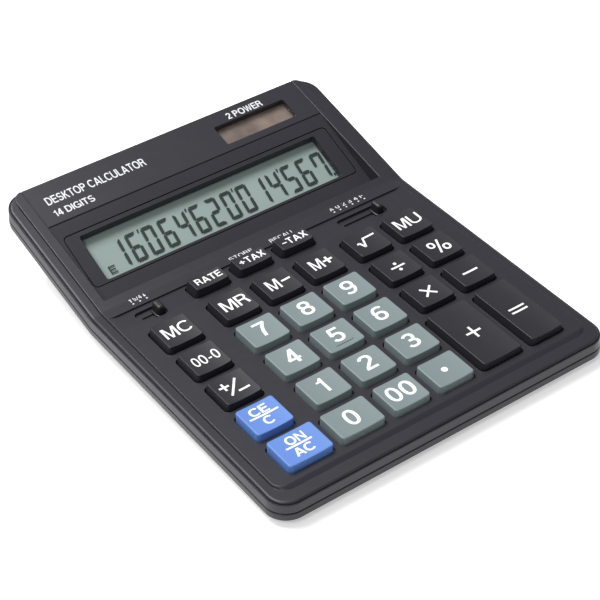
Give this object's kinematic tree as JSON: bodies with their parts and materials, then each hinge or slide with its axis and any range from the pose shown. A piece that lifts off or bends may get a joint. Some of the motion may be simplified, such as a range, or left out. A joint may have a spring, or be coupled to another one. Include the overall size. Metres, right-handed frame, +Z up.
{
  "type": "desktop calculator",
  "caption": "Desktop calculator with a sunk, tilted display, rubber-backed number and function keys, and small slide switches.",
  "frame": {"origin": "middle of the overall size, at the table", "axes": "+X to the user's right, +Y away from the user towards the display, +Z up"},
  "size_m": [0.153, 0.1946, 0.0348],
  "materials": {
    "case": "fine matte texture",
    "number_key": "satin",
    "function_key": "satin",
    "clear_key": "satin",
    "black_plastic": "satin",
    "display_glass": "polished",
    "clear_window": "polished",
    "solar_cell": "polished",
    "circuit_board": "lacquered",
    "film": "smooth",
    "key_rubber": "matte",
    "foot_rubber": "matte",
    "plated_metal": "bright plated"
  },
  "bodies": {
    "case": {"battery_contact_negative": "plated_metal", "battery_contact_positive": "plated_metal", "battery_door": "case", "battery_door_screw": "plated_metal", "button_cell": "plated_metal", "case_screw_1": "plated_metal", "case_screw_2": "plated_metal", "case_screw_3": "plated_metal", "case_screw_4": "plated_metal", "case_screw_5": "plated_metal", "chip_seal": "black_plastic", "display_bezel": "case", "foot_front_left": "foot_rubber", "foot_front_right": "foot_rubber", "foot_rear_left": "foot_rubber", "foot_rear_right": "foot_rubber", "keypad_rubber_mat": "key_rubber", "lcd_film_lead": "film", "lcd_holder": "black_plastic", "lcd_panel": "display_glass", "lower_case": "case", "main_board": "circuit_board", "solar_cell": "solar_cell", "solar_window": "clear_window", "upper_case": "case"},
    "key_0": {"key_0": "number_key"},
    "key_1": {"key_1": "number_key"},
    "key_2": {"key_2": "number_key"},
    "key_3": {"key_3": "number_key"},
    "key_4": {"key_4": "number_key"},
    "key_5": {"key_5": "number_key"},
    "key_6": {"key_6": "number_key"},
    "key_7": {"key_7": "number_key"},
    "key_8": {"key_8": "number_key"},
    "key_9": {"key_9": "number_key"},
    "key_backspace": {"key_backspace": "function_key"},
    "key_clear_entry": {"key_clear_entry": "clear_key"},
    "key_decimal_point": {"key_decimal_point": "number_key"},
    "key_divide": {"key_divide": "function_key"},
    "key_double_zero": {"key_double_zero": "number_key"},
    "key_equals": {"key_equals": "function_key"},
    "key_mark_up": {"key_mark_up": "function_key"},
    "key_memory_clear": {"key_memory_clear": "function_key"},
    "key_memory_minus": {"key_memory_minus": "function_key"},
    "key_memory_plus": {"key_memory_plus": "function_key"},
    "key_memory_recall": {"key_memory_recall": "function_key"},
    "key_minus": {"key_minus": "function_key"},
    "key_multiply": {"key_multiply": "function_key"},
    "key_on_all_clear": {"key_on_all_clear": "clear_key"},
    "key_percent": {"key_percent": "function_key"},
    "key_plus": {"key_plus": "function_key"},
    "key_sign_change": {"key_sign_change": "function_key"},
    "key_square_root": {"key_square_root": "function_key"},
    "key_tax_minus": {"key_tax_minus": "function_key"},
    "key_tax_plus": {"key_tax_plus": "function_key"},
    "key_tax_rate": {"key_tax_rate": "function_key"},
    "rounding_switch": {"rounding_switch_knob": "black_plastic", "rounding_switch_contact": "plated_metal"},
    "decimal_switch": {"decimal_switch_knob": "black_plastic", "decimal_switch_contact": "plated_metal"}
  },
  "joints": [
    {"name": "press_0", "type": "slide", "parent": "case", "child": "key_0", "axis": [0, -0.0349, 0.9994], "range_m": [-0.0018, 0], "stiffness_N_per_m": 300, "springref_m": 0.0003, "deforming": ["keypad_rubber_mat"]},
    {"name": "press_1", "type": "slide", "parent": "case", "child": "key_1", "axis": [0, -0.0349, 0.9994], "range_m": [-0.0018, 0], "stiffness_N_per_m": 300, "springref_m": 0.0003, "deforming": ["keypad_rubber_mat"]},
    {"name": "press_2", "type": "slide", "parent": "case", "child": "key_2", "axis": [0, -0.0349, 0.9994], "range_m": [-0.0018, 0], "stiffness_N_per_m": 300, "springref_m": 0.0003, "deforming": ["keypad_rubber_mat"]},
    {"name": "press_3", "type": "slide", "parent": "case", "child": "key_3", "axis": [0, -0.0349, 0.9994], "range_m": [-0.0018, 0], "stiffness_N_per_m": 300, "springref_m": 0.0003, "deforming": ["keypad_rubber_mat"]},
    {"name": "press_4", "type": "slide", "parent": "case", "child": "key_4", "axis": [0, -0.0349, 0.9994], "range_m": [-0.0018, 0], "stiffness_N_per_m": 300, "springref_m": 0.0003, "deforming": ["keypad_rubber_mat"]},
    {"name": "press_5", "type": "slide", "parent": "case", "child": "key_5", "axis": [0, -0.0349, 0.9994], "range_m": [-0.0018, 0], "stiffness_N_per_m": 300, "springref_m": 0.0003, "deforming": ["keypad_rubber_mat"]},
    {"name": "press_6", "type": "slide", "parent": "case", "child": "key_6", "axis": [0, -0.0349, 0.9994], "range_m": [-0.0018, 0], "stiffness_N_per_m": 300, "springref_m": 0.0003, "deforming": ["keypad_rubber_mat"]},
    {"name": "press_7", "type": "slide", "parent": "case", "child": "key_7", "axis": [0, -0.0349, 0.9994], "range_m": [-0.0018, 0], "stiffness_N_per_m": 300, "springref_m": 0.0003, "deforming": ["keypad_rubber_mat"]},
    {"name": "press_8", "type": "slide", "parent": "case", "child": "key_8", "axis": [0, -0.0349, 0.9994], "range_m": [-0.0018, 0], "stiffness_N_per_m": 300, "springref_m": 0.0003, "deforming": ["keypad_rubber_mat"]},
    {"name": "press_9", "type": "slide", "parent": "case", "child": "key_9", "axis": [0, -0.0349, 0.9994], "range_m": [-0.0018, 0], "stiffness_N_per_m": 300, "springref_m": 0.0003, "deforming": ["keypad_rubber_mat"]},
    {"name": "press_backspace", "type": "slide", "parent": "case", "child": "key_backspace", "axis": [0, -0.0349, 0.9994], "range_m": [-0.0018, 0], "stiffness_N_per_m": 300, "springref_m": 0.0003, "deforming": ["keypad_rubber_mat"]},
    {"name": "press_clear_entry", "type": "slide", "parent": "case", "child": "key_clear_entry", "axis": [0, -0.0349, 0.9994], "range_m": [-0.0018, 0], "stiffness_N_per_m": 300, "springref_m": 0.0003, "deforming": ["keypad_rubber_mat"]},
    {"name": "press_decimal_point", "type": "slide", "parent": "case", "child": "key_decimal_point", "axis": [0, -0.0349, 0.9994], "range_m": [-0.0018, 0], "stiffness_N_per_m": 300, "springref_m": 0.0003, "deforming": ["keypad_rubber_mat"]},
    {"name": "press_divide", "type": "slide", "parent": "case", "child": "key_divide", "axis": [0, -0.0349, 0.9994], "range_m": [-0.0018, 0], "stiffness_N_per_m": 300, "springref_m": 0.0003, "deforming": ["keypad_rubber_mat"]},
    {"name": "press_double_zero", "type": "slide", "parent": "case", "child": "key_double_zero", "axis": [0, -0.0349, 0.9994], "range_m": [-0.0018, 0], "stiffness_N_per_m": 300, "springref_m": 0.0003, "deforming": ["keypad_rubber_mat"]},
    {"name": "press_equals", "type": "slide", "parent": "case", "child": "key_equals", "axis": [0, -0.0349, 0.9994], "range_m": [-0.0018, 0], "stiffness_N_per_m": 300, "springref_m": 0.0003, "deforming": ["keypad_rubber_mat"]},
    {"name": "press_mark_up", "type": "slide", "parent": "case", "child": "key_mark_up", "axis": [0, -0.0349, 0.9994], "range_m": [-0.0018, 0], "stiffness_N_per_m": 300, "springref_m": 0.0003, "deforming": ["keypad_rubber_mat"]},
    {"name": "press_memory_clear", "type": "slide", "parent": "case", "child": "key_memory_clear", "axis": [0, -0.0349, 0.9994], "range_m": [-0.0018, 0], "stiffness_N_per_m": 300, "springref_m": 0.0003, "deforming": ["keypad_rubber_mat"]},
    {"name": "press_memory_minus", "type": "slide", "parent": "case", "child": "key_memory_minus", "axis": [0, -0.0349, 0.9994], "range_m": [-0.0018, 0], "stiffness_N_per_m": 300, "springref_m": 0.0003, "deforming": ["keypad_rubber_mat"]},
    {"name": "press_memory_plus", "type": "slide", "parent": "case", "child": "key_memory_plus", "axis": [0, -0.0349, 0.9994], "range_m": [-0.0018, 0], "stiffness_N_per_m": 300, "springref_m": 0.0003, "deforming": ["keypad_rubber_mat"]},
    {"name": "press_memory_recall", "type": "slide", "parent": "case", "child": "key_memory_recall", "axis": [0, -0.0349, 0.9994], "range_m": [-0.0018, 0], "stiffness_N_per_m": 300, "springref_m": 0.0003, "deforming": ["keypad_rubber_mat"]},
    {"name": "press_minus", "type": "slide", "parent": "case", "child": "key_minus", "axis": [0, -0.0349, 0.9994], "range_m": [-0.0018, 0], "stiffness_N_per_m": 300, "springref_m": 0.0003, "deforming": ["keypad_rubber_mat"]},
    {"name": "press_multiply", "type": "slide", "parent": "case", "child": "key_multiply", "axis": [0, -0.0349, 0.9994], "range_m": [-0.0018, 0], "stiffness_N_per_m": 300, "springref_m": 0.0003, "deforming": ["keypad_rubber_mat"]},
    {"name": "press_on_all_clear", "type": "slide", "parent": "case", "child": "key_on_all_clear", "axis": [0, -0.0349, 0.9994], "range_m": [-0.0018, 0], "stiffness_N_per_m": 300, "springref_m": 0.0003, "deforming": ["keypad_rubber_mat"]},
    {"name": "press_percent", "type": "slide", "parent": "case", "child": "key_percent", "axis": [0, -0.0349, 0.9994], "range_m": [-0.0018, 0], "stiffness_N_per_m": 300, "springref_m": 0.0003, "deforming": ["keypad_rubber_mat"]},
    {"name": "press_plus", "type": "slide", "parent": "case", "child": "key_plus", "axis": [0, -0.0349, 0.9994], "range_m": [-0.0018, 0], "stiffness_N_per_m": 300, "springref_m": 0.0003, "deforming": ["keypad_rubber_mat"]},
    {"name": "press_sign_change", "type": "slide", "parent": "case", "child": "key_sign_change", "axis": [0, -0.0349, 0.9994], "range_m": [-0.0018, 0], "stiffness_N_per_m": 300, "springref_m": 0.0003, "deforming": ["keypad_rubber_mat"]},
    {"name": "press_square_root", "type": "slide", "parent": "case", "child": "key_square_root", "axis": [0, -0.0349, 0.9994], "range_m": [-0.0018, 0], "stiffness_N_per_m": 300, "springref_m": 0.0003, "deforming": ["keypad_rubber_mat"]},
    {"name": "press_tax_minus", "type": "slide", "parent": "case", "child": "key_tax_minus", "axis": [0, -0.0349, 0.9994], "range_m": [-0.0018, 0], "stiffness_N_per_m": 300, "springref_m": 0.0003, "deforming": ["keypad_rubber_mat"]},
    {"name": "press_tax_plus", "type": "slide", "parent": "case", "child": "key_tax_plus", "axis": [0, -0.0349, 0.9994], "range_m": [-0.0018, 0], "stiffness_N_per_m": 300, "springref_m": 0.0003, "deforming": ["keypad_rubber_mat"]},
    {"name": "press_tax_rate", "type": "slide", "parent": "case", "child": "key_tax_rate", "axis": [0, -0.0349, 0.9994], "range_m": [-0.0018, 0], "stiffness_N_per_m": 300, "springref_m": 0.0003, "deforming": ["keypad_rubber_mat"]},
    {"name": "slide_rounding_switch", "type": "slide", "parent": "case", "child": "rounding_switch", "axis": [1, 0, 0], "range_m": [-0.0061, 0]},
    {"name": "slide_decimal_switch", "type": "slide", "parent": "case", "child": "decimal_switch", "axis": [1, 0, 0], "range_m": [-0.0154, 0]}
  ]
}
